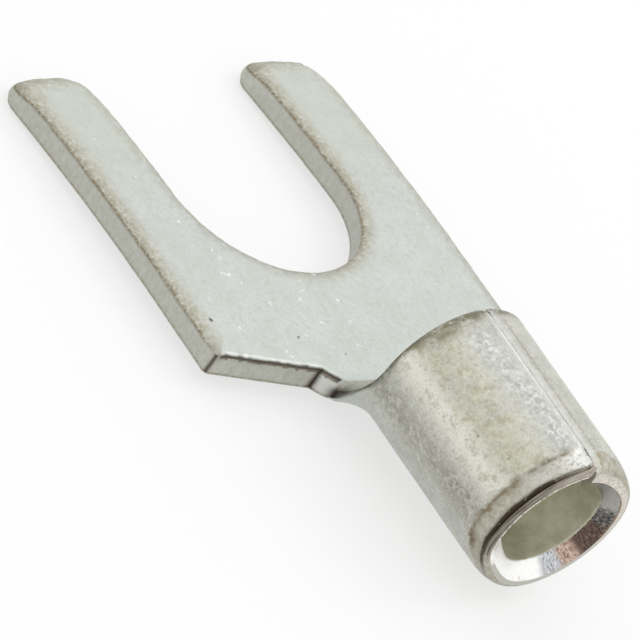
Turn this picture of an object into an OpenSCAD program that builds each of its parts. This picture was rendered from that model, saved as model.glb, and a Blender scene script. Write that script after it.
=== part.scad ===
// Fork terminal: a flat fork tongue and a rolled wire barrel, stamped and rolled from one sheet.
// X runs from the prong tips to the barrel's mouth, Y across the fork, Z up out of the tongue.
// The origin is the centre of the slot's round bottom, on the underside of the tongue's flat pad.

/* [Sheet] */
// Thickness of the sheet
sheet = 0.9; // [0.7:0.05:1.1]
// Width of the rounded edge that the punch leaves around the tongue's top face
die_roll = 0.28; // [0.12:0.02:0.3]

/* [Fork] */
// Width over both prongs
fork_w = 12; // [11:0.1:14]
// Width of the open slot, which passes the stud
slot_w = 6.8; // [5.4:0.1:7.6]
// Slot centre to the prong tips
prong_l = 5.1; // [3.5:0.05:7]
// Corner radius on the outer side of a prong tip
tip_outer_r = 0.5; // [0.5:0.05:0.8]
// Corner radius on the slot side of a prong tip
tip_inner_r = 0.5; // [0.5:0.05:0.8]
// How far the prong tips bow below the flat pad
prong_drop = 0.48; // [0.1:0.02:0.8]

/* [Pad] */
// Slot centre to the shoulder corners, measured along the terminal
pad_l = 5.96; // [5.2:0.02:7.5]
// Angle that the shoulders sweep back towards the barrel, in degrees
shoulder_sweep = 15.2; // [4:0.2:24]
// Corner radius of the shoulders
shoulder_r = 0.4; // [0.4:0.02:0.6]

/* [Neck] */
// Width of the sheet where the shoulders meet the neck
neck_w = 5.1; // [4.6:0.1:5.8]
// Width of the sheet at the waist, where the wings of the barrel begin
waist_w = 4.2; // [3.6:0.1:4.5]
// Shoulder root to the waist, along the terminal
waist_l = 0.49; // [0.3:0.01:0.9]
// Waist to the barrel's front edge, the length over which the sheet curls up
curl_l = 1.17; // [0.8:0.01:2]

/* [Barrel] */
// Outer diameter of the rolled barrel
barrel_d = 5; // [4.6:0.1:5.6]
// Length of the barrel, from its front edge to its mouth
barrel_l = 6.24; // [5:0.02:9]
// Length over which the barrel's outer edge rounds in at the mouth
mouth_round_l = 0.9; // [0.3:0.05:1.2]
// How far the rim lies inside the barrel's outer surface, where the rounded edge meets the funnel
rim_in = 0.35; // [0.3:0.01:0.45]
// Depth of the funnel that leads the wire into the bore
funnel_l = 0.44; // [0.2:0.02:0.8]
// Half the width of the groove along the closed seam
seam_w = 0.12; // [0.06:0.01:0.2]
// Depth of the groove along the closed seam
seam_depth = 0.12; // [0.05:0.01:0.25]

/* [Hidden] */

tin = "#cdd0c8";

// Places along the terminal
tip_x = -prong_l;
neck_x = pad_l + (fork_w - neck_w) / 2 * tan(shoulder_sweep);
waist_x = neck_x + waist_l;
barrel_x = waist_x + curl_l;
mouth_x = barrel_x + barrel_l;

// Radii of the barrel, of its rim, and of the middle of its wall
barrel_r = barrel_d / 2;
bore_r = barrel_r - sheet;
rim_r = barrel_r - rim_in;
wall_mid_r = barrel_r - sheet / 2;

// The prongs bow down on one large radius from the bottom of the slot
bow_x = slot_w / 2;
bow_run = bow_x - tip_x;
bow_r = (bow_run * bow_run + prong_drop * prong_drop) / (2 * prong_drop);
bow_turn = asin(bow_run / bow_r);
bow_spare = 2;

// Steps of the faceted surfaces
round_steps = 8;
slot_steps = 24;
edge_steps = 8;
roll_steps = 4;
curl_steps = 10;
wrap_steps = 20;

// How far hidden ends run into their neighbours, and how far cutters run past the sheet
overlap = 0.35;
sunk = 0.05;
skin = 0.015;
clear = 1;

// Height of the tongue's underside at x
function bow_z(x) = x < bow_x ? sqrt(bow_r * bow_r - (bow_x - x) * (bow_x - x)) - bow_r : 0;

// Edge stations are [x, y, outward x, outward y, share of the die roll]
function arc(cx, cy, r, a0, a1, side, n) = [
    for (i = [0:n])
        let (a = a0 + (a1 - a0) * i / n)
        [cx + r * cos(a), cy + r * sin(a), side * cos(a), side * sin(a), 1]
];
function line(p, q, nx, ny, n) = [
    for (i = [1:n - 1])
        [p[0] + (q[0] - p[0]) * i / n, p[1] + (q[1] - p[1]) * i / n, nx, ny, 1]
];
function flipped(stations) = [
    for (i = [len(stations) - 1:-1:0])
        let (s = stations[i])
        [s[0], -s[1], s[2], -s[3], s[4]]
];
function places(stations) = [for (s = stations) [s[0], s[1]]];

// The right half of the tongue's edge, from the slot's bottom round the prong to the neck
root_roll = 0.3;
shoulder_cx = pad_l - shoulder_r * (1 - sin(shoulder_sweep)) / cos(shoulder_sweep);
shoulder_cy = fork_w / 2 - shoulder_r;
slot_edge = concat(
    arc(0, 0, slot_w / 2, 0, 90, -1, slot_steps / 2),
    line([0, slot_w / 2], [tip_x + tip_inner_r, slot_w / 2], 0, -1, edge_steps)
);
tip_edge = concat(
    arc(tip_x + tip_inner_r, slot_w / 2 + tip_inner_r, tip_inner_r, 270, 180, 1, round_steps),
    arc(tip_x + tip_outer_r, fork_w / 2 - tip_outer_r, tip_outer_r, 180, 90, 1, round_steps)
);
side_edge = line([tip_x + tip_outer_r, fork_w / 2], [shoulder_cx, fork_w / 2], 0, 1, 2 * edge_steps);
shoulder_edge = concat(
    arc(shoulder_cx, shoulder_cy, shoulder_r, 90, shoulder_sweep, 1, round_steps),
    [[neck_x, neck_w / 2, cos(shoulder_sweep), sin(shoulder_sweep), root_roll]]
);
outer_edge = concat(tip_edge, side_edge, shoulder_edge);
half_edge = concat(slot_edge, outer_edge);
whole_edge = concat(flipped([for (i = [1:len(half_edge) - 1]) half_edge[i]]), half_edge);

// The die roll's own stations lie midway between the outline's corners, with its two ends kept
function midway(a, b) =
    let (n = [a[2] + b[2], a[3] + b[3]])
    [(a[0] + b[0]) / 2, (a[1] + b[1]) / 2, n[0] / norm(n), n[1] / norm(n), (a[4] + b[4]) / 2];
function between(stations) =
    let (last = len(stations) - 1)
    concat([stations[0]], [for (i = [1:last]) midway(stations[i - 1], stations[i])], [stations[last]]);
roll_edge = between(whole_edge);

// The tongue's outline, with the slot still closed behind the tips' inner corners
half_outline = concat(
    [[tip_x + tip_inner_r, 0]],
    places(outer_edge),
    [[waist_x, waist_w / 2]]
);
outline = concat(
    half_outline,
    [for (i = [len(half_outline) - 1:-1:1]) [half_outline[i][0], -half_outline[i][1]]]
);

// Section of what the punch rounds off: an arc from the top face to the side, and the space outside it
// The arc meets both faces at an angle and runs on a little past them
roll_lift = 20;
roll_over = 8;
function roll_section(w) =
    let (r = w * sin(45) / sin(45 - roll_lift))
    let (c = w / 2 + r * cos(45 - roll_lift) * sin(45))
    let (lip = roll_lift - roll_over)
    let (reach = c - r * sin(lip))
    concat(
        [for (i = [0:roll_steps])
            let (a = 90 - lip - (90 - 2 * lip) * i / roll_steps)
            [r * cos(a) - c, r * sin(a) - c]],
        [[w, -reach], [w, w], [-reach, w]]
    );
section_n = len(roll_section(1));

// A closed skin over rings of n points; the ends are closed by strips between the ring's two rows
function skin_faces(rings, n) =
    let (last = (rings - 1) * n)
    concat(
        [for (j = [0:n / 2 - 2]) [j, j + 1, n - 2 - j, n - 1 - j]],
        [for (i = [0:rings - 2])
            for (j = [0:n - 1])
                [i * n + j, (i + 1) * n + j, (i + 1) * n + (j + 1) % n, i * n + (j + 1) % n]],
        [for (j = [0:n / 2 - 2]) [last + n - 1 - j, last + n - 2 - j, last + j + 1, last + j]]
    );

module die_roll_cut() {
    rings = [
        for (s = roll_edge)
            [for (p = roll_section(die_roll * s[4]))
                [s[0] + s[2] * p[0], s[1] + s[3] * p[0], sheet + bow_z(s[0]) + p[1]]]
    ];
    points = [for (ring = rings) for (p = ring) p];
    polyhedron(points, skin_faces(len(rings), section_n), convexity = 6);
}

// The sheet's section across the terminal, swung round the bow's centre behind the slot
module bowed_slab() {
    translate([bow_x, 0, -bow_r])
        rotate([90, 0, 0])
            rotate([0, 0, 90])
                rotate_extrude(angle = bow_turn + bow_spare, $fn = 1440)
                    translate([bow_r, -fork_w])
                        square([sheet, 2 * fork_w]);
}

module flat_slab() {
    translate([bow_x, -fork_w, 0])
        cube([mouth_x, 2 * fork_w, sheet]);
}

module stud_slot() {
    translate([0, 0, -prong_drop - clear]) {
        cylinder(d = slot_w, h = prong_drop + sheet + 2 * clear, $fn = 180);
        translate([tip_x - clear, -slot_w / 2, 0])
            cube([prong_l + clear, slot_w, prong_drop + sheet + 2 * clear]);
    }
}

module tongue() {
    difference() {
        intersection() {
            translate([0, 0, -prong_drop - clear])
                linear_extrude(prong_drop + sheet + 2 * clear)
                    polygon(outline);
            union() {
                bowed_slab();
                flat_slab();
            }
        }
        stud_slot();
        die_roll_cut();
    }
}

// Neck stations are [x, half width of the flat blank, half thickness]
// The wings' front edges sweep up in a fillet, and both ends taper into the tongue and the barrel's wall
wing_half = wall_mid_r * PI / 2;
neck_half_t = sheet / 2 - skin;
end_half_t = sheet / 4;
end_share = 0.8;
neck_stations = concat(
    [[neck_x - overlap, waist_w / 2 * end_share, end_half_t]],
    [[waist_x - sunk, waist_w / 2 - skin, neck_half_t]],
    [for (i = [0:curl_steps])
        let (a = 90 * i / curl_steps)
        [
            waist_x + skin + (curl_l + sunk) * sin(a),
            waist_w / 2 - skin + (wing_half - waist_w / 2) * (1 - cos(a)),
            neck_half_t
        ]],
    [[barrel_x + overlap, wing_half * end_share, end_half_t]]
);

// How far the sheet has curled at x, from nearly flat at the waist to 1 where it is the barrel
flat_curl = 0.001;
curl_x = waist_x - sunk;
function ease(u) = u * u * (3 - 2 * u);
function curl(x) = max(flat_curl, ease(min(1, max(0, (x - curl_x) / (barrel_x - curl_x)))));

// A point of the curled sheet: s along the section, h up from the middle of the wall
function curled(x, s, h) =
    let (k = curl(x) / wall_mid_r)
    let (a = k * s * 180 / PI)
    [x, (1 / k - h) * sin(a), sheet / 2 + 1 / k - (1 / k - h) * cos(a)];

module neck() {
    rings = [
        for (st = neck_stations)
            concat(
                [for (j = [0:wrap_steps]) curled(st[0], st[1] * (2 * j / wrap_steps - 1), -st[2])],
                [for (j = [wrap_steps:-1:0]) curled(st[0], st[1] * (2 * j / wrap_steps - 1), st[2])]
            )
    ];
    points = [for (ring = rings) for (p = ring) p];
    polyhedron(points, skin_faces(len(rings), 2 * (wrap_steps + 1)), convexity = 6);
}

// Half section of the barrel: straight wall, outer edge rounded in to the rim, funnel to the bore
barrel_section = concat(
    [[bore_r, barrel_x], [barrel_r, barrel_x]],
    [for (i = [0:round_steps])
        let (a = 90 * i / round_steps)
        [rim_r + rim_in * cos(a), mouth_x - mouth_round_l * (1 - sin(a))]],
    [[bore_r, mouth_x - funnel_l]]
);

module barrel() {
    difference() {
        translate([0, 0, barrel_r])
            rotate([0, 90, 0])
                rotate_extrude($fn = 180)
                    polygon(barrel_section);
        seam_groove();
    }
}

// The groove where the two edges of the rolled sheet meet, along the top of the barrel
module seam_groove() {
    translate([barrel_x - clear, 0, barrel_d - seam_depth])
        rotate([90, 0, 90])
            linear_extrude(barrel_l + 2 * clear)
                polygon([[0, 0], [2 * seam_w, 2 * seam_depth], [-2 * seam_w, 2 * seam_depth]]);
}

module fork_terminal() {
    color(tin)
        union() {
            tongue();
            neck();
            barrel();
        }
}

fork_terminal();
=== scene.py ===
import math

import bpy
import numpy as np
from mathutils import Matrix, Vector, noise
from mathutils.geometry import delaunay_2d_cdt


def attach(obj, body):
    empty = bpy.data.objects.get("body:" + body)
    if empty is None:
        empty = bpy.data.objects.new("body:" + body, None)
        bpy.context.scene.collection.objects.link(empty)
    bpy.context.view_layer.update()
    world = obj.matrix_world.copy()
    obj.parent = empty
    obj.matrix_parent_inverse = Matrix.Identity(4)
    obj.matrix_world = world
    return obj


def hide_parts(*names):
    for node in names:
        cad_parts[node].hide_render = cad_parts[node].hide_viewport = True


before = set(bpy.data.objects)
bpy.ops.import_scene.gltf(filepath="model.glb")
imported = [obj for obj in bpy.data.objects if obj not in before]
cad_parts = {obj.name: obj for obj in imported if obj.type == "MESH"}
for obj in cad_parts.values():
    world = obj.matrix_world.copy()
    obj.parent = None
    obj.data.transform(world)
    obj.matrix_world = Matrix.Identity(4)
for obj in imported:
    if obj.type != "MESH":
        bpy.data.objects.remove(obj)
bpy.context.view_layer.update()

# The blank
# The terminal starts as one flat piece of tin-plated copper sheet, punched out with its fork,
# its short neck and the two wings that will be rolled into the barrel. Sizes are in millimetres,
# with x along the terminal and v across the flat sheet.
sheet = 0.9
fork_w = 12.0
slot_r = 3.4
tip_x = -5.15
tip_crown = 0.04
pad_l = 5.96
shoulder_sweep = math.radians(15.2)
shoulder_r = 0.22
neck_w = 5.1
waist_w = 4.2
waist_l = 0.49
curl_l = 1.07
barrel_l = 6.34
barrel_r = 2.5
wall_r = barrel_r - sheet / 2
seam_gap = 0.006
seam_v = math.pi * wall_r - seam_gap / 2
wing_v = math.pi * wall_r / 2
neck_x = pad_l + (fork_w - neck_w) / 2 * math.tan(shoulder_sweep)
waist_x = neck_x + waist_l
barrel_x = waist_x + curl_l
mouth_x = barrel_x + barrel_l
left_corner_r = 0.22
right_corner_r = 0.08
# The prongs' ends were tumbled unevenly: inner and outer corner of each
left_tip_r = (0.76, 0.62)
right_tip_r = (0.52, 0.80)
# The left wing was cut short, and the right one leans back to meet it at the seam
short_cut = 0.25
short_from, short_over = 1.2, 1.6
seam_cut = 0.26
lean_from, lean_over = 118, 55
corner_cut, corner_cut_w = 0.10, 0.35
edge_step = 0.07


def ease(x):
    x = np.clip(x, 0.0, 1.0)
    return x * x * (3.0 - 2.0 * x)


def turned(v):
    """Degrees round the barrel from its bottom: left is negative, and the seam is at 180."""
    return np.degrees(v / wall_r)


def short_share(v):
    return ease((-v - short_from) / short_over)


def mouth_edge(v):
    lean = seam_cut * ease((turned(v) - lean_from) / lean_over)
    nip = corner_cut * ease((corner_cut_w - seam_v - v) / corner_cut_w)
    return mouth_x - short_cut * short_share(v) - lean - nip


def arc(cx, cv, rx, rv, start, end):
    steps = max(4, int(math.ceil(abs(end - start) * max(rx, rv) / edge_step)))
    angle = start + (end - start) * np.arange(steps) / steps
    return np.stack([cx + rx * np.cos(angle), cv + rv * np.sin(angle)], 1)


def line(a, b):
    a, b = np.array(a), np.array(b)
    steps = max(1, int(math.ceil(np.linalg.norm(b - a) / edge_step)))
    return a + (b - a) * (np.arange(steps) / steps)[:, None]


half = fork_w / 2
quarter = math.pi / 2
shoulder_cx = pad_l - shoulder_r * (1 - math.sin(shoulder_sweep)) / math.cos(shoulder_sweep)
shoulder_cv = half - shoulder_r
shoulder_end = (shoulder_cx + shoulder_r * math.cos(shoulder_sweep),
                shoulder_cv + shoulder_r * math.sin(shoulder_sweep))


def half_edge(corner_r, tip_r, side):
    """The blank's edge on one side, from the slot's bottom round to the middle of the mouth."""
    inner_r, outer_r = tip_r
    inner_x, outer_x = tip_x + inner_r, tip_x + outer_r
    tip_end = line((tip_x, slot_r + inner_r), (tip_x, half - outer_r))
    across_tip = np.linspace(0.0, 1.0, len(tip_end), endpoint=False)
    tip_end[:, 0] -= 4 * tip_crown * across_tip * (1 - across_tip)
    mouth_v = np.linspace(seam_v, 0.0, int(seam_v / edge_step) + 1)[:-1]
    stretches = [
        ("slot", arc(0, 0, slot_r, slot_r, 0, quarter)),
        ("slot", line((0, slot_r), (inner_x, slot_r))),
        ("tip", arc(inner_x, slot_r + inner_r, inner_r, inner_r, 3 * quarter, 2 * quarter)),
        ("tip", tip_end),
        ("corner", arc(outer_x, half - outer_r, outer_r, outer_r, 2 * quarter, quarter)),
        ("side", line((outer_x, half), (shoulder_cx, half))),
        ("side", arc(shoulder_cx, shoulder_cv, shoulder_r, shoulder_r, quarter, shoulder_sweep)),
        ("shoulder", line(shoulder_end, (neck_x, neck_w / 2))),
        ("neck", line((neck_x, neck_w / 2), (waist_x, waist_w / 2))),
        ("fillet", arc(waist_x, wing_v, curl_l, wing_v - waist_w / 2, -quarter, 0)),
        ("front", line((barrel_x, wing_v), (barrel_x, seam_v - corner_r))),
        ("front", arc(barrel_x + corner_r, seam_v - corner_r, corner_r, corner_r, math.pi, quarter)),
        ("seam", line((barrel_x + corner_r, seam_v), (mouth_edge(side * seam_v), seam_v))),
        ("mouth", np.stack([mouth_edge(side * mouth_v), mouth_v], 1)),
    ]
    places = np.vstack([points for _, points in stretches]) * (1, side)
    return places.tolist(), [kind for kind, points in stretches for _ in points]


right_points, right_kinds = half_edge(right_corner_r, right_tip_r, 1)
left_points, left_kinds = half_edge(left_corner_r, left_tip_r, -1)
edge = np.array(right_points + [[mouth_x, 0.0]] + left_points[:0:-1])
kinds = np.array(right_kinds + ["mouth"] + left_kinds[:0:-1])
edge_n = len(edge)
ahead = np.roll(edge, -1, 0) - edge
ahead /= np.linalg.norm(ahead, axis=1)[:, None]
inward = np.stack([ahead[:, 1], -ahead[:, 0]], 1)
inward = inward + np.roll(inward, 1, 0)
inward /= np.linalg.norm(inward, axis=1)[:, None]

# Rounding that the punch leaves: width and depth on the upper side, then on the lower side,
# and how far the wall between them bellies out
belly, hollow = 0.08, -0.007
rounding = {
    "slot": (0.36, 0.13, 0.06, 0.04, hollow),
    "tip": (0.78, 0.36, 0.12, 0.08, belly),
    "corner": (0.90, 0.46, 0.12, 0.08, belly),
    "side": (0.42, 0.15, 0.06, 0.04, hollow),
    "shoulder": (0.16, 0.06, 0.06, 0.04, hollow),
    "neck": (0.12, 0.05, 0.08, 0.05, hollow),
    "fillet": (0.12, 0.06, 0.20, 0.12, hollow),
    "front": (0.12, 0.07, 0.34, 0.17, hollow),
    "seam": (0.10, 0.05, 0.24, 0.09, 0.0),
    "mouth": (0.06, 0.0, 0.06, 0.0, hollow),
}
fork_kinds = ["slot", "tip", "corner", "side"]
fork_passes, other_passes = 110, 6
width_wobble, depth_wobble = 0.15, 0.12


def smoothed(values, passes):
    for _ in range(passes):
        values = (np.roll(values, 1, 0) + 2 * values + np.roll(values, -1, 0)) / 4
    return values


def grain(points, scale, seed):
    return np.array([noise.noise(Vector((x * scale, v * scale, seed))) for x, v in points])


profile = np.array([rounding[kind] for kind in kinds])
profile = np.where(np.isin(kinds, fork_kinds)[:, None],
                   smoothed(profile, fork_passes), smoothed(profile, other_passes))
wobble = grain(edge, 1.7, 3.1) + 0.6 * grain(edge, 6.1, 8.4)
profile[:, 1] *= 1 + depth_wobble * wobble
profile[:, 0] *= 1 + width_wobble * wobble

# Points of the flat sheet: the edge, rows that follow it inwards, and an even grid between them
row_depths = [0.02, 0.05, 0.09, 0.14, 0.20, 0.27, 0.35, 0.44]
mouth_depths = [0.03, 0.07, 0.10, 0.13, 0.155, 0.18, 0.21, 0.25, 0.31, 0.38,
                0.43, 0.48, 0.57, 0.67, 0.76, 0.81, 0.86, 0.92, 1.0]
row_share = 0.93
row_clear, row_clear_gain = 0.018, 0.04
grid_step = 0.115
grid_clear = 0.07
grid_margin = 0.3 * grid_step
cell = 0.12
block_n = 2000


def to_edge(points):
    """Distance to the nearest point of the edge, and which point that is."""
    near = np.empty(len(points), int)
    away = np.empty(len(points))
    for start in range(0, len(points), block_n):
        block = slice(start, start + block_n)
        gap = np.linalg.norm(points[block][:, None, :] - edge[None, :, :], axis=2)
        near[block] = gap.argmin(1)
        away[block] = gap.min(1)
    return away, near


rows = []
for i in range(edge_n):
    for depth in (mouth_depths if kinds[i] == "mouth" else row_depths):
        rows.append((*(edge[i] + inward[i] * depth), depth))
rows = np.array(rows)
rows = rows[to_edge(rows[:, :2])[0] > rows[:, 2] * row_share]
rows = rows[np.argsort(rows[:, 2], kind="stable")]
gx, gv = np.meshgrid(np.arange(tip_x, mouth_x, grid_step), np.arange(-seam_v, seam_v, grid_step))
gx, gv = gx.ravel(), gv.ravel()
wing_grid = (gx > barrel_x) & (gx < mouth_edge(gv) - mouth_depths[-1])
neck_grid = (gx > neck_x) & (gx <= barrel_x) & (np.abs(gv) < wing_v)
tongue_grid = (gx <= neck_x) & (np.abs(gv) < half)
grid = np.stack([gx, gv], 1)[wing_grid | neck_grid | tongue_grid]
away, near = to_edge(grid)
inside = ((grid - edge[near]) * inward[near]).sum(1) > 0
grid = grid[inside & (away > row_depths[-1] + grid_margin)]

spots = [tuple(p) for p in edge]
cells = {}
for index, (x, v) in enumerate(spots):
    cells.setdefault((int(x // cell), int(v // cell)), []).append(index)


def add_spot(x, v, clear):
    """A new point, unless one that is already there lies closer than clear."""
    home = (int(x // cell), int(v // cell))
    for a in (-1, 0, 1):
        for b in (-1, 0, 1):
            for other in cells.get((home[0] + a, home[1] + b), ()):
                if (spots[other][0] - x) ** 2 + (spots[other][1] - v) ** 2 < clear * clear:
                    return
    cells.setdefault(home, []).append(len(spots))
    spots.append((x, v))


for x, v, depth in rows:
    add_spot(x, v, row_clear + row_clear_gain * min(1.0, depth))
for x, v in grid:
    add_spot(x, v, grid_clear)
rim_edges = [(i, (i + 1) % edge_n) for i in range(edge_n)]
flat_points, _, flat_faces, kept, _, _ = delaunay_2d_cdt(
    [Vector(p) for p in spots], rim_edges, [], 1, 1e-6)
flat = np.array([tuple(p) for p in flat_points])
flat_n = len(flat)
if flat_n != len(spots) or any(k[0] != i for i, k in enumerate(kept)):
    raise ValueError("the flat blank has points that fell together")
triangles = np.array([tuple(f) for f in flat_faces])
corner_a, corner_b, corner_c = (flat[triangles[:, i]] for i in range(3))
wrong_way = np.cross(corner_b - corner_a, corner_c - corner_a) < 0
triangles[wrong_way] = triangles[wrong_way][:, ::-1]

# Heights of both sides of the sheet, with the rounded edges, the funnel inside the mouth, the
# swage outside it (width and depth) and the wrinkles that the roll left beside the seam
roll_power = 2.2
seam_from, seam_over = 115, 60
funnel_l, funnel_seam_l = 0.44, 0.22
funnel_d, funnel_short_d, funnel_seam_d = 0.40, 0.16, 0.12
swage_w, swage_flank_w = 0.62, 0.14
swage_flank_from, swage_flank_over = 62, 30
right_swage, left_swage, left_lip = (0.9, 0.33), (0.75, 0.07), (0.12, 0.14)
swage_step_d, swage_step_w = 0.035, 0.10
crease, crease_d, crease_w = 0.165, 0.075, 0.035
wrinkle_x, wrinkle_v, wrinkle_slant = 9.4, -5.65, 0.08
wrinkle_w, wrinkle_d, wrinkle_fade = 0.32, 0.034, 0.4
wrinkle_start, wrinkle_stop = 9.0, 0.8
wing_margin = 0.6
burr_at, burr_w, burr_h = 0.07, 0.05, 0.022
pitted_w, pit_d = 0.5, 0.006
least = 0.05


def swage_edge(v):
    return swage_w + swage_flank_w * ease((-turned(v) - swage_flank_from) / swage_flank_over)


def rolled_off(distance, width, depth):
    return depth * np.clip(1 - distance / np.maximum(width, 1e-6), 0, 1) ** roll_power


def swaged(distance, width, depth):
    reach = np.clip(1 - distance / width, 0, 1)
    return depth * (1 - np.sqrt(1 - reach * reach))


def bell(distance, middle, width):
    return np.exp(-((distance - middle) / width) ** 2)


away, near = to_edge(flat)
away[:edge_n] = 0.0
w_top, d_top, w_low, d_low = profile[near, :4].T
fx, fv = flat.T
to_mouth = mouth_edge(fv) - fx
short = short_share(fv)
to_seam = ease((turned(fv) - seam_from) / seam_over)
in_barrel = fx > barrel_x - wing_margin
coarse, fine = grain(flat, 1.3, 2.0), grain(flat, 5.0, 5.0)
ragged = 0.08 * grain(flat, 2.2, 9.0) + 0.05 * grain(flat, 7.0, 6.0)
mouth_drop = (1 - short) * swaged(to_mouth, *right_swage)
mouth_drop += short * (swaged(to_mouth, *left_swage) + swaged(to_mouth, *left_lip))
mouth_drop += short * swage_step_d * ease((swage_edge(fv) - to_mouth + ragged) / swage_step_w)
mouth_drop += short * crease_d * bell(to_mouth, crease, crease_w)
funnel = funnel_d + funnel_short_d * short - funnel_seam_d * to_seam
funnel *= np.clip(1 - to_mouth / (funnel_l - funnel_seam_l * to_seam), 0, 1)
wrinkled = in_barrel * bell(fv, wrinkle_v - wrinkle_slant * (fx - wrinkle_x), wrinkle_w)
wrinkled *= ease((to_mouth - wrinkle_stop) / wrinkle_fade) * ease((fx - wrinkle_start) / wrinkle_fade)
ripples = grain(flat, 3.4, 1.0) + 0.5 * grain(flat, 7.0, 7.0)
edge_burr = (kinds == "shoulder")[near] * bell(away, burr_at, burr_w) * np.clip(0.2 + 1.8 * fine, 0, 1)
edge_pits = np.isin(kinds, ["tip", "corner", "side"])[near] * ease(1 - away / pitted_w) * fine

top = sheet / 2 - rolled_off(away, w_top, d_top) - np.where(in_barrel, funnel, 0)
top += 0.0012 * coarse + 0.001 * fine + burr_h * edge_burr + pit_d * edge_pits
low = -sheet / 2 + rolled_off(away, w_low, d_low) + np.where(in_barrel, mouth_drop, 0)
low += 0.006 * coarse + 0.003 * fine - wrinkle_d * wrinkled * ripples
thin = np.clip(least - (top - low), 0, None)
top += thin / 2
low -= thin / 2

# The closed mesh: the upper side, the lower side and the punched wall between them, in rows at
# these shares of its height
wall_shares = (0.05, 0.14, 0.34, 0.40, 0.46, 0.66, 0.86, 0.95)
wall_uneven, wall_inset = 0.0036, 0.0024
row_shift = 14.0
MM = 0.001
wall_points = []
for share in wall_shares:
    height = low[:edge_n] + (top[:edge_n] - low[:edge_n]) * share
    uneven = wall_uneven * grain(edge + share * row_shift, 3.0, 4.0) * (kinds != "seam")
    bulge = profile[:, 4] * math.sin(math.pi * share) + uneven - wall_inset
    wall_points.append(np.column_stack([edge - inward * bulge[:, None], height]))
points = np.vstack([np.column_stack([flat, top]), np.column_stack([flat, low])] + wall_points)
faces = triangles.tolist() + (triangles[:, ::-1] + flat_n).tolist()
ring_starts = [flat_n] + [2 * flat_n + row * edge_n for row in range(len(wall_shares))] + [0]
for lower, upper in zip(ring_starts[:-1], ring_starts[1:]):
    faces += [(lower + j, lower + i, upper + i, upper + j) for i, j in rim_edges]
blank_mesh = bpy.data.meshes.new("punched_blank")
blank_mesh.from_pydata((points * MM).tolist(), [], faces)
blank_mesh.update()

# What the surface has been through, kept on the points for the plating's material: first where
# each point is, on which side, and which stretch of the edge is nearest
wall_n = len(wall_shares) * edge_n
far_off = 9.0


def on_sheet(values, on_wall=0.0):
    """One value for each point: the upper side, the lower side, then the punched wall."""
    return np.concatenate([values, values, np.broadcast_to(on_wall, wall_n)])


def along_wall(values):
    """The edge's own values, once for each row of the wall."""
    return np.concatenate([values] * len(wall_shares))


def by(*names):
    return np.isin(near_kind, names)


all_x = on_sheet(fx, along_wall(edge[:, 0]))
all_v = on_sheet(fv, along_wall(edge[:, 1]))
all_near = on_sheet(near, along_wall(np.arange(edge_n)))
all_away, all_mouth = on_sheet(away), on_sheet(to_mouth)
all_ragged, all_coarse = on_sheet(ragged), on_sheet(coarse)
is_top = np.repeat([1.0, 0.0, 0.0], [flat_n, flat_n, wall_n])
is_low = np.repeat([0.0, 1.0, 0.0], [flat_n, flat_n, wall_n])
punched = 1 - is_top - is_low
share_up = np.concatenate([np.zeros(2 * flat_n), np.repeat(wall_shares, edge_n)])
near_kind = kinds[all_near]
fork_edge = by(*fork_kinds)
stub_edge = by("shoulder", "neck")
turn = turned(all_v)
around = np.abs(turn)
all_short = short_share(all_v)
outer = is_low * (all_x > waist_x)
torn_swage = swage_edge(all_v) + 2.0 * all_ragged
edge_patches = on_sheet(fine, along_wall(grain(edge, 2.6, 3.0)))

# The fork's edges are worn most on the left and at the tips, and get painted shade where they roll off most
slot_wear, slot_wear_v = 0.35, 2.5
right_wear = 0.45
shoulder_wear, shoulder_wear_l = 0.45, 0.9
worn_reach, shade_reach = 1.6, 0.75
tip_shade, corner_shade, side_shade, shade_from = 3.0, 2.0, 1.15, 1.2
edge_v = edge[all_near, 1]
wear = np.where(edge_v < 0, 1.0, right_wear)
wear = np.where(by("slot"), slot_wear + (1 - slot_wear) * ease(edge_v / slot_wear_v), wear)
wear = np.where(by("tip"), 1.0, wear)
off_shoulder = ease((shoulder_cx - all_x) / shoulder_wear_l)
wear *= np.where(by("side"), shoulder_wear + (1 - shoulder_wear) * off_shoulder, 1.0)
worn = is_top * fork_edge * wear * ease(1 - all_away / (worn_reach * profile[all_near, 0]))
shade_amount = np.where(by("corner"), corner_shade, side_shade * (shade_from - wear))
shade_amount = np.where(by("tip"), tip_shade, shade_amount)
shaded = is_top * fork_edge * shade_amount * ease(1 - all_away / shade_reach)

# The brown line that the punch left along the edges, and painted glints on the burr along the shoulders
wall_head, wall_foot = 0.9, 0.1
upper_line_w, lower_line_w, stain_w, curl_line_w = 0.045, 0.05, 0.13, 0.03
seam_line_at, seam_line_w = 0.22, 0.04
glint_at, glint_w = 0.06, 0.03


def edging(width):
    """A soft line along the edge, this wide on the sheet."""
    return bell(all_away, 0.0, width)


upper_line = is_top * edging(upper_line_w * (1 + 0.5 * all_coarse)) + 0.6 * punched * (share_up > wall_head)
lower_line = is_low * edging(lower_line_w) + punched * (share_up < wall_foot)
brown_line = np.clip(np.maximum.reduce([
    fork_edge * wear * upper_line,
    0.4 * fork_edge * is_top * edging(stain_w),
    0.6 * by("fillet") * is_top * edging(curl_line_w),
    0.6 * (fork_edge | stub_edge) * lower_line,
    0.55 * by("seam") * is_low * (all_v > 0) * bell(all_away, seam_line_at, seam_line_w),
]), 0, 1)
burr_glint_mask = is_top * by("shoulder") * bell(all_away, glint_at, glint_w) * ease(0.3 + 2.6 * edge_patches)
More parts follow.
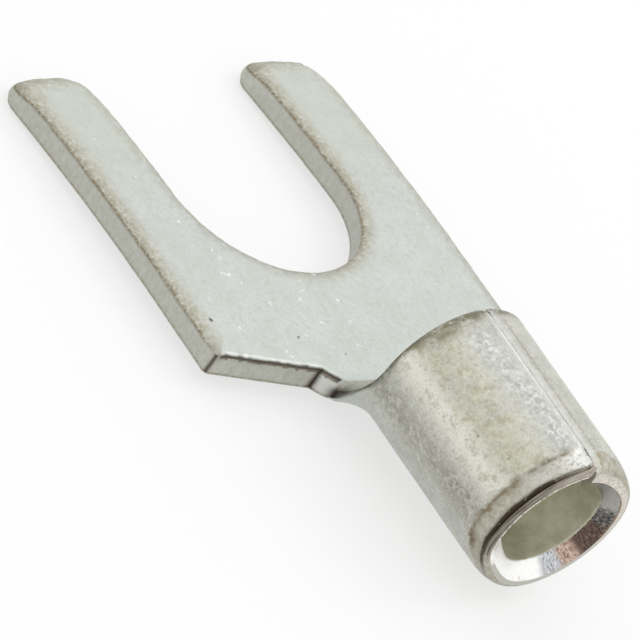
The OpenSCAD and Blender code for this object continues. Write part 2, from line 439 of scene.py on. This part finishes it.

# Grime and painted shade: painted shade in spots in the corners of the cut edge (place, size and amount),
# grime along its torn upper part at the neck, a painted shadow line up the fillet and round the front,
# and painted shade in the crease behind the left lip
torn_w, torn_w_gain = 0.02, 0.06
torn_from, torn_gain, torn_fade = 0.93, 0.22, 0.05
torn_face_from, torn_face_over = 0.60, 0.38
fillet_from, fillet_drop, fillet_wall_w, fillet_low_w = 0.43, 0.40, 0.10, 0.08
front_low_w = 0.07
front_stop, front_fade = 150, 30
crease_turn, crease_turn_w = -115, 40
crease_stop, crease_stop_fade = 138, 25
crease_back, crease_shade_w, crease_shade_gain = 0.03, 0.045, 0.03
corner_grime_and_shade = []
for spot_x, spot_v, size, amount in (
    (shoulder_cx + shoulder_r * 0.61, shoulder_cv + shoulder_r * 0.79, 0.06, 1.05),
    (neck_x, neck_w / 2, 0.125 - 0.05 * share_up, 1.1),
    (waist_x + 0.06, waist_w / 2, 0.20, ease((0.74 - share_up) / 0.4)),
):
    for side in (-1, 1):
        hit = bell(np.hypot(all_x - spot_x, all_v - side * spot_v), 0, size)
        corner_grime_and_shade.append(amount * hit * punched)
torn_to = torn_from - torn_gain * np.clip(edge_patches + 0.1, 0, 1)
torn_wall = np.maximum(share_up > wall_head, 0.4 * ease((share_up - torn_to) / torn_fade))
torn = is_top * edging(torn_w + torn_w_gain * np.clip(edge_patches, 0, 1)) + punched * torn_wall
torn_face = stub_edge * punched * ease((share_up - torn_face_from) / torn_face_over)
up_fillet = ease((all_x - waist_x) / curl_l)
fillet_line = punched * bell(share_up, fillet_from - fillet_drop * up_fillet, fillet_wall_w)
fillet_line += is_low * up_fillet * edging(fillet_low_w)
front_line = punched * (share_up < wall_foot) + is_low * edging(front_low_w)
crease_side = bell(turn, crease_turn, crease_turn_w)
crease_amount = 1.0 + 0.6 * crease_side - 0.55 * ease((-turn - crease_stop) / crease_stop_fade)
crease_at = crease + crease_back + 0.25 * all_ragged
crease_line = outer * np.minimum(1, 1.5 * all_short) * crease_amount
crease_line *= bell(all_mouth, crease_at, crease_shade_w + crease_shade_gain * crease_side)
grime_and_shade = np.maximum.reduce(corner_grime_and_shade + [
    0.85 * stub_edge * torn,
    0.95 * by("fillet") * fillet_line,
    0.6 * by("front") * front_line * ease((front_stop - around) / front_fade),
    crease_line,
])

# The barrel: a dark line behind the swage, a dark band round the front with two blots (place along
# and round, size along and round, amount), the patina between them, painted highlight columns and a
# painted shade band along the flanks, and painted highlights on the lips and in the seam's groove. Angles
# are in degrees from the bottom, and the tables of columns and dips give angle, width and amount.
swage_line_w, swage_smear_w, swage_smear_back, swage_smear = 0.07, 0.17, 0.05, 0.30
swage_start, swage_start_fade, swage_stop, swage_stop_fade = 52, 16, 172, 14
front_w, front_seam_w, least_front_w = 0.32, 0.20, 0.1
front_seam_from, front_seam_over = 110, 50
front_from, front_over = 80, 18
blots = ((8.88, -140, 0.20, 11, 0.9), (8.66, -163, 0.24, 11, 1.17))
patina_fade, patina_lead, patina_lead_fade = 0.08, 0.5, 0.7
yellow_from, yellow_to, yellow_fade = 92, 164, 26
cream_highlight_columns = ((110, 9, 1.0), (148, 9, 0.35))
flank_shade_dips = ((84, 13, 1.0), (125, 5, 0.16))
band_fade = 0.06
shine_least, shine_spots = 0.45, ((10.3, 1.2), (13.9, 0.6))
band_shine_from, band_shine_over = 112, 30
band_glint, band_glint_w, band_glint_from = -166, 12, 0.25
left_lip_at, left_lip_w, groove_at, groove_w = 0.15, 0.045, 0.03, 0.07
swage_line = bell(all_mouth, torn_swage, swage_line_w * (1 + all_coarse))
swage_line += swage_smear * bell(all_mouth, torn_swage - swage_smear_back, swage_smear_w)
swage_line = outer * np.minimum(1, swage_line) * ease((-turn - swage_start) / swage_start_fade)
swage_line *= ease((turn + swage_stop) / swage_stop_fade)
front_reach = front_w + front_seam_w * ease((around - front_seam_from) / front_seam_over) + 2.2 * all_ragged
front_gap = np.where(by("fillet"), all_away, far_off)
front_gap = np.where(np.abs(all_v) > wing_v, all_x - barrel_x, front_gap)
front_dark = [ease(1.5 * (1 - front_gap / np.maximum(front_reach, least_front_w)))
              * ease((around - front_from) / front_over)]
for blot_x, blot_turn, blot_l, blot_w, amount in blots:
    off_blot = np.hypot((all_x - blot_x) / blot_l, (turn - blot_turn) / blot_w)
    front_dark.append(amount * bell(off_blot, 0, 1))
front_band = outer * np.maximum.reduce(front_dark)
patina = outer * ease((all_mouth - torn_swage) / patina_fade)
patina *= ease((all_x - barrel_x + patina_lead) / patina_lead_fade)
yellowed = patina * ease((around - yellow_from) / yellow_fade) * ease((yellow_to - around) / yellow_fade)
# painted highlight columns running along the barrel
cream_highlight = patina * sum(amount * bell(around, middle, width) for middle, width, amount in cream_highlight_columns)
# a painted shade band along each flank
flank = outer * sum(amount * bell(around, middle, width) for middle, width, amount in flank_shade_dips)
swage_band = outer * ease((torn_swage - all_mouth) / band_fade)
shine = np.maximum.reduce([bell(all_x, middle, width) for middle, width in shine_spots])
lip_shine = shine_least + (1 - shine_least) * shine
band_shine = 0.30 * ease((-turn - band_shine_from) / band_shine_over)
band_shine += 0.5 * bell(turn, band_glint, band_glint_w)
# painted highlights on the left lip, on the band near the seam and in the seam's groove
seam_highlights = np.maximum.reduce([
    is_low * by("seam") * (all_v < 0) * lip_shine * bell(all_away, left_lip_at, left_lip_w),
    swage_band * band_shine * (all_mouth > band_glint_from),
    0.5 * is_low * by("seam") * bell(all_away, groove_at, groove_w),
])
lip_edge_w, lip_edge_from = 0.02, 0.6
bore_lead = 0.6
rim = punched * by("mouth")
wings = all_x > barrel_x
for name, values in (
    ("punched", punched),
    ("worn", worn),
    ("shaded", shaded),
    ("brown_line", brown_line),
    ("burr_glint_mask", burr_glint_mask),
    ("grime_and_shade", grime_and_shade),
    ("swage_line", swage_line),
    ("front_band", front_band),
    ("patina", patina),
    ("yellowed", yellowed),
    ("flank", flank),
    ("swage_band", swage_band),
    ("seam_highlights", seam_highlights),
    ("wrinkled", is_low * on_sheet(wrinkled)),
    ("lip_edge", by("mouth") * is_top * edging(lip_edge_w) + rim * (share_up > lip_edge_from)),
    ("cream_highlight", cream_highlight),
    ("stub", punched * by("neck")),
    ("torn_face", torn_face),
    ("rim", rim),
    ("bore", is_top * ease((all_x - barrel_x) / bore_lead)),
    ("inner_side", np.where(wings, is_top + (all_short > 0.5) * rim, 0)),
    ("turn", turn / 360),
    ("mouth_gap", np.where(wings, all_mouth, far_off)),
):
    layer = blank_mesh.attributes.new(name, "FLOAT", "POINT")
    layer.data.foreach_set("value", np.ascontiguousarray(values, dtype=np.float32))

# The rolled terminal
# The same sheet after the press: the prongs bow down on one large radius, the neck curls up,
# and the wings close to a tube with their edges butted along the top.
prong_drop = 0.48
bow_x = slot_r
bow_run = bow_x - tip_x
bow_r = (bow_run ** 2 + prong_drop ** 2) / (2 * prong_drop)
curl_x = waist_x - 0.12
least_curl = 0.001

rolling = bpy.data.node_groups.new("roll_the_blank", "GeometryNodeTree")
rolling.is_modifier = True
rolling.interface.new_socket("Geometry", in_out="INPUT", socket_type="NodeSocketGeometry")
roll_sizes = {
    "Sheet thickness": sheet * MM,
    "Wall radius": wall_r * MM,
    "Curl starts": curl_x * MM,
    "Barrel starts": barrel_x * MM,
    "Bow starts": bow_x * MM,
    "Bow radius": bow_r * MM,
}
roll_ids = {}
for name in roll_sizes:
    socket = rolling.interface.new_socket(name, in_out="INPUT", socket_type="NodeSocketFloat")
    roll_ids[name] = socket.identifier
socket = rolling.interface.new_socket("Plating", in_out="INPUT", socket_type="NodeSocketMaterial")
plate_id = socket.identifier
rolling.interface.new_socket("Geometry", in_out="OUTPUT", socket_type="NodeSocketGeometry")
given = rolling.nodes.new("NodeGroupInput").outputs
result = rolling.nodes.new("NodeGroupOutput")


def roll_node(kind, **settings):
    node = rolling.nodes.new(kind)
    for name, value in settings.items():
        setattr(node, name, value)
    return node


def feed(node, slot, value):
    if isinstance(value, bpy.types.NodeSocket):
        rolling.links.new(value, node.inputs[slot])
    else:
        node.inputs[slot].default_value = value


def reckon(operation, *values):
    node = roll_node("ShaderNodeMath", operation=operation)
    for slot, value in enumerate(values):
        feed(node, slot, value)
    return node.outputs[0]


def either(flag, if_true, if_false):
    node = roll_node("ShaderNodeMix", data_type="FLOAT")
    for slot, value in ((0, flag), (2, if_false), (3, if_true)):
        feed(node, slot, value)
    return node.outputs[0]


place = roll_node("ShaderNodeSeparateXYZ")
feed(place, 0, roll_node("GeometryNodeInputPosition").outputs[0])
along, across, height = place.outputs
middle = reckon("MULTIPLY", given["Sheet thickness"], 0.5)
curl = roll_node("ShaderNodeMapRange", interpolation_type="SMOOTHSTEP")
feed(curl, "Value", along)
feed(curl, "From Min", given["Curl starts"])
feed(curl, "From Max", given["Barrel starts"])
feed(curl, "To Min", least_curl)
feed(curl, "To Max", 1.0)
bend_r = reckon("DIVIDE", given["Wall radius"], curl.outputs[0])
bend_a = reckon("DIVIDE", across, bend_r)
arm = reckon("SUBTRACT", bend_r, height)
curled_y = reckon("MULTIPLY", arm, reckon("SINE", bend_a))
hung = reckon("MULTIPLY", arm, reckon("COSINE", bend_a))
curled_z = reckon("ADD", middle, reckon("SUBTRACT", bend_r, hung))
flat_z = reckon("ADD", middle, height)
is_flat = reckon("LESS_THAN", along, given["Curl starts"])
sheet_y = either(is_flat, across, curled_y)
sheet_z = either(is_flat, flat_z, curled_z)
past_bow = reckon("MAXIMUM", 0.0, reckon("SUBTRACT", given["Bow starts"], along))
bow_a = reckon("DIVIDE", past_bow, given["Bow radius"])
bow_arm = reckon("ADD", given["Bow radius"], sheet_z)
swung_x = reckon("MULTIPLY", bow_arm, reckon("SINE", bow_a))
swung_z = reckon("MULTIPLY", bow_arm, reckon("COSINE", bow_a))
placed = roll_node("ShaderNodeCombineXYZ")
feed(placed, 0, reckon("SUBTRACT", reckon("MAXIMUM", along, given["Bow starts"]), swung_x))
feed(placed, 1, sheet_y)
feed(placed, 2, reckon("SUBTRACT", swung_z, given["Bow radius"]))
moved = roll_node("GeometryNodeSetPosition")
feed(moved, "Geometry", given["Geometry"])
feed(moved, "Position", placed.outputs[0])
real = roll_node("GeometryNodeRealizeInstances")
feed(real, 0, moved.outputs[0])
plated = roll_node("GeometryNodeSetMaterial")
feed(plated, "Geometry", real.outputs[0])
feed(plated, "Material", given["Plating"])
feed(result, 0, plated.outputs[0])

# The plating
# Matt electroplated tin over copper: pale grey and finely crystalline on the tongue, yellowed and
# mottled on the barrel, brown along the punched edge, scraped to copper in the mouth's funnel.
tin_plate = bpy.data.materials.new("tin_plate")
tin_plate.use_nodes = True
plate = tin_plate.node_tree
shader = plate.nodes["Principled BSDF"]


def plate_node(kind, inputs=None, **settings):
    node = plate.nodes.new(kind)
    for name, value in settings.items():
        setattr(node, name, value)
    for slot, value in (inputs or {}).items():
        if isinstance(value, bpy.types.NodeSocket):
            plate.links.new(value, node.inputs[slot])
        else:
            node.inputs[slot].default_value = value
    return node


def calc(operation, a, b=0.0, clamp=False):
    return plate_node("ShaderNodeMath", {0: a, 1: b}, operation=operation, use_clamp=clamp).outputs[0]


def times(first, *others):
    for other in others:
        first = calc("MULTIPLY", first, other)
    return first


def plus(first, *others):
    for other in others:
        first = calc("ADD", first, other)
    return first


def spread(pattern, amount):
    """The pattern's ups and downs about its middle, up to half this amount each way."""
    return times(calc("SUBTRACT", pattern, 0.5), amount)


def between(value, start, end, most=1.0):
    """Nothing at the start, rising smoothly to the most at the end."""
    return plate_node("ShaderNodeMapRange",
                      {"Value": value, "From Min": start, "From Max": end, "To Max": most},
                      interpolation_type="SMOOTHSTEP").outputs[0]


def blend(factor, a, b):
    a, b = (c if isinstance(c, bpy.types.NodeSocket) else (*c, 1.0) for c in (a, b))
    return plate_node("ShaderNodeMix", {0: factor, 6: a, 7: b}, data_type="RGBA").outputs[2]


def coated(base, *coats):
    """Each coat, a share and a colour, goes over what is already there."""
    for share, colour in coats:
        base = blend(share, base, colour)
    return base


def seen(name):
    return plate_node("ShaderNodeAttribute", attribute_name=name).outputs["Fac"]


def vector_sum(operation, a, b, output="Vector"):
    return plate_node("ShaderNodeVectorMath", {0: a, 1: b}, operation=operation).outputs[output]


def cloudy(place, scale, detail=3.0, rough=0.6, twist=0.0):
    return plate_node("ShaderNodeTexNoise", {
        "Vector": place, "Scale": scale, "Detail": detail, "Roughness": rough, "Distortion": twist,
    }).outputs["Fac"]


where = plate_node("ShaderNodeTexCoord").outputs["Object"]
where = vector_sum("MULTIPLY", where, (1 / MM, 1 / MM, 1 / MM))
broad = cloudy(where, 0.9, 4.0, 0.55)
blotch = cloudy(where, 1.9, 4.0)
stain = cloudy(where, 2.7, 5.0, 0.7)
mottle = cloudy(where, 4.5, 5.0, 0.65)
folds = cloudy(where, 6.0, 2.0, 0.5, 0.5)
grit = cloudy(where, 10.0)
crystals = cloudy(where, 18.0, 3.0, 0.7)
shear = cloudy(vector_sum("MULTIPLY", where, (1.0, 1.0, 0.22)), 7.0)


def specks(scale, radius, kept_above):
    """Small round specks, one in some of the cells of an uneven net."""
    net = plate_node("ShaderNodeTexVoronoi", {"Vector": where, "Scale": scale}).outputs
    close = between(net["Distance"], radius * scale, radius * scale * 0.5)
    pick = plate_node("ShaderNodeSeparateColor", {0: net["Color"]}).outputs[0]
    return times(close, calc("GREATER_THAN", pick, kept_above))


# Matt tin on the tongue: fine crystals, warmer on the prongs, and the sheared and worn edges
tin_dim, tin_light, prong_tin = (0.600, 0.632, 0.592), (0.640, 0.668, 0.632), (0.63, 0.65, 0.565)
tin_cloud, tin_frost = (0.555, 0.572, 0.525), (0.69, 0.722, 0.69)
crystal_white, crystal_grey = (0.80, 0.84, 0.80), (0.49, 0.50, 0.455)
cut_dim, cut_light, cut_grit = (0.465, 0.468, 0.415), (0.54, 0.545, 0.49), (0.36, 0.355, 0.30)
shear_dark, shear_light, stub_tin = (0.40, 0.39, 0.34), (0.66, 0.66, 0.615), (0.67, 0.675, 0.63)
worn_light, worn_dark, edge_shade = (0.60, 0.59, 0.50), (0.50, 0.47, 0.37), (0.415, 0.40, 0.325)
worn_grit, worn_glint = (0.40, 0.36, 0.265), (0.84, 0.85, 0.80)
punched_here, worn_here = seen("punched"), seen("worn")
tongue_x = plate_node("ShaderNodeSeparateXYZ", {0: where}).outputs[0]
pale = coated(
    blend(between(broad, 0.35, 0.65), tin_dim, tin_light),
    (between(mottle, 0.51, 0.66, 0.6), tin_cloud),
    (between(mottle, 0.46, 0.32, 0.5), tin_frost),
    (between(crystals, 0.52, 0.70, 0.55), crystal_white),
    (between(crystals, 0.48, 0.30, 0.45), crystal_grey),
    (between(tongue_x, 1.0, -2.0, 0.33), prong_tin),
)
cut_face = coated(
    blend(between(mottle, 0.3, 0.7), cut_dim, cut_light),
    (between(shear, 0.53, 0.68, 0.25), shear_dark),
    (between(shear, 0.47, 0.34, 0.22), shear_light),
    (between(grit, 0.54, 0.68, 0.35), cut_grit),
)
tone = coated(
    pale,
    (punched_here, cut_face),
    (seen("stub"), stub_tin),
    (times(worn_here, 0.78), blend(between(mottle, 0.34, 0.62), worn_light, worn_dark)),
    (times(worn_here, between(grit, 0.52, 0.66, 0.60)), worn_grit),
    (times(worn_here, between(grit, 0.44, 0.33, 0.50)), worn_glint),
    # painted shade where the fork's edges roll off, strongest at the tips
    (times(seen("shaded"), between(mottle, 0.26, 0.58), 0.62), edge_shade),
)

# The barrel: grey tin with a yellowed, finely mottled patch along each upper flank, and painted highlights
# and shade on its columns, flanks, wrinkles and seam
barrel_dim, barrel_light = (0.54, 0.545, 0.50), (0.63, 0.635, 0.59)
yellow_dark, yellow_light, yellow_stain = (0.50, 0.485, 0.355), (0.68, 0.67, 0.55), (0.42, 0.38, 0.265)
cream_highlight_tin, cream_stain, pit_brown = (0.79, 0.79, 0.715), (0.45, 0.42, 0.32), (0.23, 0.18, 0.11)
patina_dark, patina_light = (0.33, 0.30, 0.225), (0.74, 0.74, 0.68)
patina_grain, patina_glint = (0.36, 0.33, 0.23), (0.82, 0.81, 0.73)
fold_sheen, fold_shade, fold_highlight = (0.68, 0.70, 0.69), (0.42, 0.425, 0.395), (0.87, 0.90, 0.91)
flank_shade, flank_grit = (0.32, 0.315, 0.26), (0.24, 0.225, 0.18)
band_dark, band_light, band_grit = (0.40, 0.375, 0.30), (0.54, 0.53, 0.455), (0.34, 0.30, 0.23)
swage_bright, swage_brown, front_brown = (0.74, 0.72, 0.64), (0.225, 0.18, 0.115), (0.235, 0.215, 0.15)
seam_highlight_white = (0.92, 0.93, 0.91)
bore_dim, bore_light, bore_stain = (0.75, 0.735, 0.60), (0.90, 0.89, 0.78), (0.66, 0.63, 0.49)
patina_here, yellow_here, cream_highlight_here = seen("patina"), seen("yellowed"), seen("cream_highlight")
wrinkle_here, flank_shade_here, band_here = seen("wrinkled"), seen("flank"), seen("swage_band")
swage_here, bore_here = seen("swage_line"), seen("bore")
yellow_part = times(yellow_here, between(blotch, 0.22, 0.60), 0.9)
pits = times(specks(1.9, 0.08, 0.35), between(grit, 0.44, 0.54), yellow_here, 0.7)
band_tone = coated(
    blend(between(mottle, 0.36, 0.60), band_dark, band_light),
    (between(grit, 0.52, 0.64, 0.45), band_grit),
)
# the bore is painted lighter than the outer plating, standing in for light inside the tube
bore_tone = coated(
    blend(between(blotch, 0.36, 0.62), bore_dim, bore_light),
    (between(mottle, 0.54, 0.68, 0.5), bore_stain),
)
tone = coated(
    tone,
    (patina_here, blend(between(blotch, 0.35, 0.65), barrel_dim, barrel_light)),
    (yellow_part, blend(between(mottle, 0.34, 0.66), yellow_dark, yellow_light)),
    # painted highlight columns along the barrel
    (times(cream_highlight_here, between(mottle, 0.14, 0.52)), cream_highlight_tin),
    (times(cream_highlight_here, between(stain, 0.50, 0.61, 0.26)), cream_stain),
    (times(yellow_here, between(stain, 0.51, 0.64, 0.6)), yellow_stain),
    (times(patina_here, between(grit, 0.54, 0.70, 0.38)), patina_dark),
    (times(patina_here, between(grit, 0.46, 0.30, 0.5)), patina_light),
    (times(patina_here, between(crystals, 0.53, 0.66, 0.34)), patina_grain),
    (times(patina_here, between(crystals, 0.47, 0.34, 0.28)), patina_glint),
    (pits, pit_brown),
    # painted sheen, shade and highlights on the wrinkles beside the seam
    (times(wrinkle_here, 0.35), fold_sheen),
    (times(wrinkle_here, between(folds, 0.48, 0.38, 0.65)), fold_shade),
    (times(wrinkle_here, between(folds, 0.53, 0.64, 0.65)), fold_highlight),
    # painted shade band along the flanks
    (times(flank_shade_here, between(mottle, 0.25, 0.60), 0.75), flank_shade),
    (times(flank_shade_here, between(grit, 0.54, 0.68, 0.4)), flank_grit),
    (band_here, band_tone),
    (times(swage_here, between(grit, 0.46, 0.36, 0.5)), swage_bright),
    (times(swage_here, between(mottle, 0.28, 0.48)), swage_brown),
    (times(seen("front_band"), between(mottle, 0.28, 0.52)), front_brown),
    # painted highlights along the seam
    (times(seen("seam_highlights"), between(grit, 0.30, 0.55)), seam_highlight_white),
    (bore_here, bore_tone),
)

# The funnel: a painted highlight on the polished tin at the bottom, then bare copper, then dark brown, grey
# to the seam
edge_brown, edge_pink, rim_grey = (0.30, 0.22, 0.16), (0.88, 0.84, 0.77), (0.56, 0.55, 0.50)
turn_here, gap_here = seen("turn"), seen("mouth_gap")


def streaks(around_scale, gap_scale):
    place = plate_node("ShaderNodeCombineXYZ", {0: times(turn_here, around_scale),
                                                1: times(gap_here, gap_scale)}).outputs[0]
    return cloudy(place, 1.0)


scrapes = streaks(260.0, 11.0)
lip_lines = streaks(12.0, 34.0)
frayed = plus(turn_here, spread(scrapes, 0.05))


def from_turn(start, end):
    return between(frayed, start / 360, end / 360)


scraped = plus(times(scrapes, 0.6), times(grit, 0.4))
# painted highlight on the funnel's lower side
funnel_highlight = blend(between(mottle, 0.30, 0.46), (0.74, 0.72, 0.63), (1.0, 1.0, 0.98))
silver = blend(between(scrapes, 0.36, 0.64), (0.31, 0.315, 0.335), (0.76, 0.77, 0.79))
copper = blend(between(scraped, 0.42, 0.58), (0.29, 0.185, 0.135), (0.66, 0.51, 0.43))
funnel_dark_brown = blend(between(scrapes, 0.38, 0.68), (0.065, 0.049, 0.040), (0.21, 0.148, 0.118))
funnel_blackish = blend(between(scrapes, 0.40, 0.68), (0.045, 0.043, 0.040), (0.28, 0.27, 0.25))
dull_grey = blend(between(scrapes, 0.35, 0.65), (0.32, 0.315, 0.285), (0.44, 0.435, 0.40))
lip_brown = blend(between(lip_lines, 0.38, 0.64), (0.13, 0.108, 0.083), (0.35, 0.32, 0.268))
lip_light = blend(between(lip_lines, 0.38, 0.60), (0.30, 0.26, 0.21), (0.62, 0.57, 0.50))
lip_tone = blend(from_turn(-136, -166), lip_brown, lip_light)
pink = blend(between(grit, 0.42, 0.60), (0.62, 0.565, 0.49), (0.78, 0.75, 0.69))
mouth_tone = coated(
    funnel_highlight,
    (from_turn(14, 22), silver),
    (from_turn(35, 41), copper),
    (from_turn(52, 60), funnel_dark_brown),
    (from_turn(84, 92), funnel_blackish),
    (from_turn(100, 112), dull_grey),
    (from_turn(-66, -78), lip_tone),
    (times(between(gap_here, 0.06, 0.02), from_turn(62, 100), between(grit, 0.36, 0.52)), edge_brown),
)
in_funnel = between(plus(gap_here, times(scrapes, 0.08)), funnel_l + 0.06, funnel_l + 0.02)
in_funnel = times(in_funnel, seen("inner_side"))
outer_lip = times(between(gap_here, crease + 0.01, crease - 0.03), from_turn(-62, -74), band_here)
inner_edge = times(from_turn(-60, -72), seen("lip_edge"), between(grit, 0.34, 0.52))
tone = coated(
    tone,
    (in_funnel, mouth_tone),
    (outer_lip, lip_tone),
    (inner_edge, edge_pink),
    (times(between(gap_here, 0.03, 0.0), from_turn(95, 140), band_here), pink),
    (times(seen("rim"), from_turn(-66, -50)), blend(from_turn(30, 110), rim_grey, pink)),
)

# Dirt and painted light come last: a line along the flank, flecks and painted glints, the torn neck, the
# brown line that the punch left, and grime with painted shade in the corners
flank_brown, torn_brown, line_brown = (0.26, 0.235, 0.17), (0.17, 0.14, 0.10), (0.25, 0.20, 0.125)
grime_and_shade_black, dark_fleck, glint = (0.06, 0.045, 0.03), (0.12, 0.12, 0.10), (0.95, 0.96, 0.94)
tin_glint, scuff_glint, burr_glint = (0.88, 0.91, 0.89), (0.93, 0.96, 0.95), (0.97, 0.97, 0.93)
scuff_middle = (4.6, -2.6, 0.87)
line_here = seen("brown_line")
off_flank = calc("ABSOLUTE", plus(turn_here, 90 / 360, spread(blotch, 0.10)))
flank_line = times(between(off_flank, 1.8 / 360, 0.5 / 360), between(gap_here, 2.7, 1.9),
                   between(mottle, 0.40, 0.56), patina_here, 0.75)
tone = blend(flank_line, tone, flank_brown)
for middle_at, size, shade in (
    ((4.78, -5.46, 0.86), 0.12, dark_fleck),
    ((5.72, -2.65, 0.9), 0.06, dark_fleck),
    ((6.5, -1.35, 0.9), 0.035, dark_fleck),
    ((1.15, -4.13, 0.867), 0.06, glint),
    ((-0.70, -4.51, 0.79), 0.045, glint),
):
    off_fleck = plus(vector_sum("DISTANCE", where, middle_at, "Value"), spread(grit, 0.25))
    tone = blend(between(off_fleck, size, size * 0.4, 0.85), tone, shade)
clean = calc("SUBTRACT", 1.0, plus(patina_here, bore_here, band_here, punched_here), clamp=True)
scuffed = times(between(vector_sum("DISTANCE", where, scuff_middle, "Value"), 3.6, 1.8), clean)
torn_part = between(plus(seen("torn_face"), times(mottle, 1.6)), 1.28, 1.52, 0.8)
broken = plus(0.35, between(grit, 0.40, 0.58, 0.55))
tone = coated(
    tone,
    (times(specks(2.2, 0.04, 0.75), clean), tin_glint),
    (times(specks(2.4, 0.105, 0.30), between(grit, 0.55, 0.42), scuffed), scuff_glint),
    # painted glints on the shoulders' burr
    (times(seen("burr_glint_mask"), between(grit, 0.48, 0.41)), burr_glint),
    (torn_part, torn_brown),
    (times(line_here, broken), line_brown),
    # grime and painted shade in the corners, along the fillet and front, and in the lip's crease
    (times(seen("grime_and_shade"), between(mottle, 0.15, 0.45)), grime_and_shade_black),
)
dull = plus(0.40, times(mottle, 0.16), times(line_here, 0.2))
dull = calc("SUBTRACT", dull, times(in_funnel, 0.12), clamp=True)
relief = plus(times(crystals, 0.35), times(mottle, 0.25),
              times(grit, plus(worn_here, patina_here), 0.45), times(scrapes, in_funnel, 0.8))
bump = plate_node("ShaderNodeBump", {"Strength": 0.35, "Distance": 0.02 * MM, "Height": relief})
plate.links.new(tone, shader.inputs["Base Color"])
plate.links.new(dull, shader.inputs["Roughness"])
plate.links.new(bump.outputs[0], shader.inputs["Normal"])
shader.inputs["Metallic"].default_value = 1.0

# The press and the plating bath: the blank is rolled, becomes a plain mesh and takes its finish
sharp_from = math.radians(38)
blank = bpy.data.objects.new("blank", blank_mesh)
bpy.context.scene.collection.objects.link(blank)
press = blank.modifiers.new("press", "NODES")
press.node_group = rolling
for name, size in roll_sizes.items():
    press[roll_ids[name]] = size
press[plate_id] = tin_plate
bpy.context.view_layer.update()
depsgraph = bpy.context.evaluated_depsgraph_get()
rolled_mesh = bpy.data.meshes.new_from_object(blank.evaluated_get(depsgraph), depsgraph=depsgraph)
rolled_mesh.name = "rolled_terminal"
bpy.data.objects.remove(blank)
terminal = bpy.data.objects.new("rolled_terminal", rolled_mesh)
bpy.context.scene.collection.objects.link(terminal)
rolled_mesh.polygons.foreach_set("use_smooth", np.ones(len(rolled_mesh.polygons), bool))
rolled_mesh.set_sharp_from_angle(angle=sharp_from)
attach(terminal, "root")
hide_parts("fork_terminal")

# The stage
# A plain white floor that the terminal lies on, soft light all round and one broad lamp,
# and a camera with a long lens at the photograph's angle.
floor_z = -prong_drop * MM - 0.00002
floor_half = 2.0
paper_white = (0.93, 0.93, 0.93, 1)
white = (1, 1, 1, 1)
backdrop_share = 0.6
floor_mesh = bpy.data.meshes.new("floor")
floor_corners = [(x * floor_half, y * floor_half, floor_z) for x, y in ((-1, -1), (1, -1), (1, 1), (-1, 1))]
floor_mesh.from_pydata(floor_corners, [], [(0, 1, 2, 3)])
floor = bpy.data.objects.new("floor", floor_mesh)
bpy.context.scene.collection.objects.link(floor)
paper = bpy.data.materials.new("white_paper")
paper.use_nodes = True
paper_nodes, paper_links = paper.node_tree.nodes, paper.node_tree.links
paper_shader = paper_nodes["Principled BSDF"]
paper_shader.inputs["Base Color"].default_value = paper_white
paper_shader.inputs["Roughness"].default_value = 1.0
paper_shader.inputs["Specular IOR Level"].default_value = 0.0
ray = paper_nodes.new("ShaderNodeLightPath")
seen_rays = ray.outputs["Is Camera Ray"]
for operation, other in (
    ("ADD", ray.outputs["Is Glossy Ray"]),
    ("ADD", ray.outputs["Is Transmission Ray"]),
    ("MULTIPLY", None),
):
    step = paper_nodes.new("ShaderNodeMath")
    step.operation = operation
    paper_links.new(seen_rays, step.inputs[0])
    if other:
        paper_links.new(other, step.inputs[1])
    else:
        step.inputs[1].default_value = backdrop_share
    seen_rays = step.outputs[0]
glow = paper_nodes.new("ShaderNodeEmission")
glow.inputs["Color"].default_value = white
glow.inputs["Strength"].default_value = 1.0
lit_paper = paper_nodes.new("ShaderNodeMixShader")
for slot, value in enumerate((seen_rays, paper_shader.outputs[0], glow.outputs[0])):
    paper_links.new(value, lit_paper.inputs[slot])
paper_links.new(lit_paper.outputs[0], paper_nodes["Material Output"].inputs["Surface"])
floor_mesh.materials.append(paper)

world = bpy.data.worlds.new("studio")
bpy.context.scene.world = world
world.use_nodes = True
sky = world.node_tree.nodes["Background"]
sky.inputs["Color"].default_value = white
sky.inputs["Strength"].default_value = 1.0

lamp = bpy.data.lights.new("broad_lamp", "AREA")
lamp.shape = "RECTANGLE"
lamp.size, lamp.size_y = 0.06, 0.06
lamp.energy = 0.02
lamp_object = bpy.data.objects.new("broad_lamp", lamp)
bpy.context.scene.collection.objects.link(lamp_object)
lamp_place, lamp_aim = Vector((0.02, 0.09, 0.12)), Vector((0.005, 0, 0))
lamp_object.location = lamp_place
lamp_object.rotation_euler = (lamp_aim - lamp_place).to_track_quat("-Z", "Y").to_euler()

aim = Vector((5.0298, -1.1439, 0.6762)) * MM
camera_distance = 208.587 * MM
camera_azimuth = math.radians(31.229)
camera_height = math.radians(34.246)
camera_roll = math.radians(36.559)
camera_data = bpy.data.cameras.new("camera")
camera_data.sensor_width = 36.0
camera_data.lens = 412.88
camera_data.clip_start = 0.01
camera_data.clip_end = 20.0
camera = bpy.data.objects.new("camera", camera_data)
bpy.context.scene.collection.objects.link(camera)
back = Vector((math.sin(camera_azimuth) * math.cos(camera_height),
               -math.cos(camera_azimuth) * math.cos(camera_height), math.sin(camera_height)))
level_right = Vector((math.cos(camera_azimuth), math.sin(camera_azimuth), 0))
level_up = back.cross(level_right)
right = level_right * math.cos(camera_roll) + level_up * math.sin(camera_roll)
up = back.cross(right)
turned_camera = Matrix((right, up, back)).transposed().to_4x4()
camera.matrix_world = Matrix.Translation(aim + back * camera_distance) @ turned_camera
bpy.context.scene.camera = camera
bpy.context.scene.view_settings.view_transform = "Standard"
